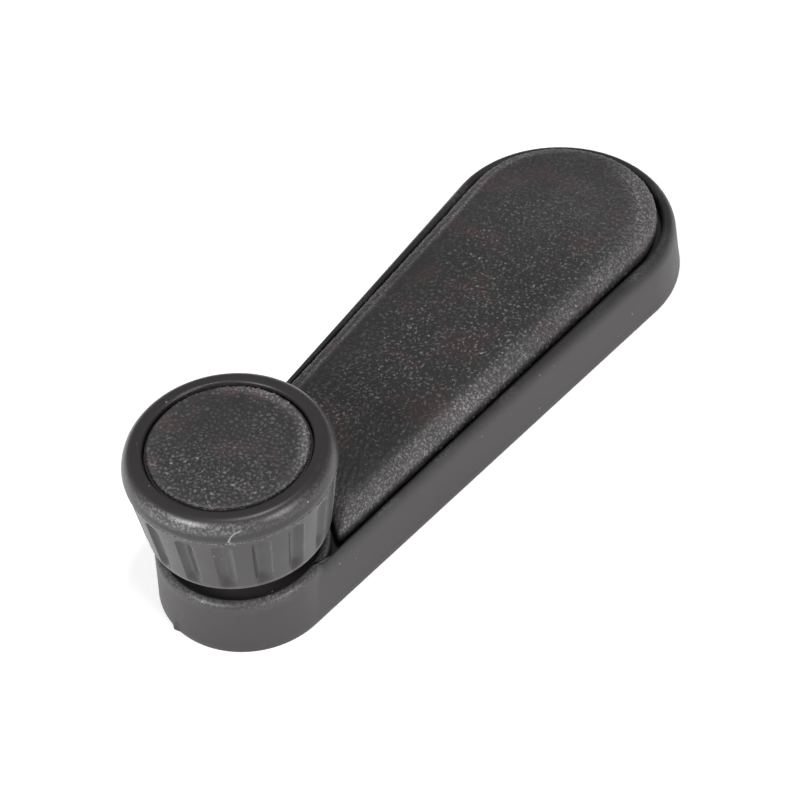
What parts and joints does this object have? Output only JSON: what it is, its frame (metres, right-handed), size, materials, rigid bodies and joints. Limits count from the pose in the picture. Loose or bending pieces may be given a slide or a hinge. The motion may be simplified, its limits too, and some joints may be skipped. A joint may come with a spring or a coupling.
{
  "type": "window crank handle",
  "caption": "Window winder crank: tapered arm with a lift-off grained inlay over its hub screw, and a round fluted knob that turns freely on a pin.",
  "frame": {"origin": "on the spindle axis of the hub, on the flat back that faces the door", "axes": "+Z away from the door along the spindle axis, +X along the arm from the hub to the knob, +Y across the arm"},
  "size_m": [0.1257, 0.043, 0.0323],
  "materials": {
    "housing_plastic": "satin moulded charcoal plastic, lightly worn",
    "inlay_grain": "leather-grained black moulding, rubbed bright on the high grain",
    "knob_plastic": "satin moulded charcoal plastic, polished by handling",
    "disc_grain": "coarse pebble-grained black moulding",
    "carrier_plastic": "plain black moulded plastic",
    "core_steel": "stamped zinc-plated steel",
    "hub_metal": "sintered steel",
    "fastener_steel": "zinc-plated steel",
    "spring_steel": "dark spring steel",
    "pin_steel": "turned bright steel",
    "bearing_nylon": "natural white nylon"
  },
  "bodies": {
    "arm": {"arm_housing": "housing_plastic", "arm_core": "core_steel", "back_cover": "housing_plastic", "back_cover_screws": "fastener_steel", "hub_insert": "hub_metal", "hub_washer": "spring_steel", "hub_screw": "fastener_steel", "knob_pin": "pin_steel", "rivet_washer": "fastener_steel", "thrust_washer": "bearing_nylon", "wave_washer": "spring_steel", "retaining_ring": "spring_steel"},
    "inlay": {"inlay_carrier": "carrier_plastic", "arm_inlay": "inlay_grain"},
    "knob": {"knob_bush": "bearing_nylon", "knob_body": "knob_plastic", "knob_rim": "knob_plastic", "knob_cap": "carrier_plastic", "knob_inlay": "disc_grain"}
  },
  "joints": [
    {"name": "knob_spin", "type": "hinge", "parent": "arm", "child": "knob", "pos_m": [0.088, 0, 0.0155], "axis": [0, 0, 1], "continuous": true},
    {"name": "inlay_lift", "type": "slide", "parent": "arm", "child": "inlay", "axis": [0, 0, 1], "range_m": [0, 0.003]}
  ]
}
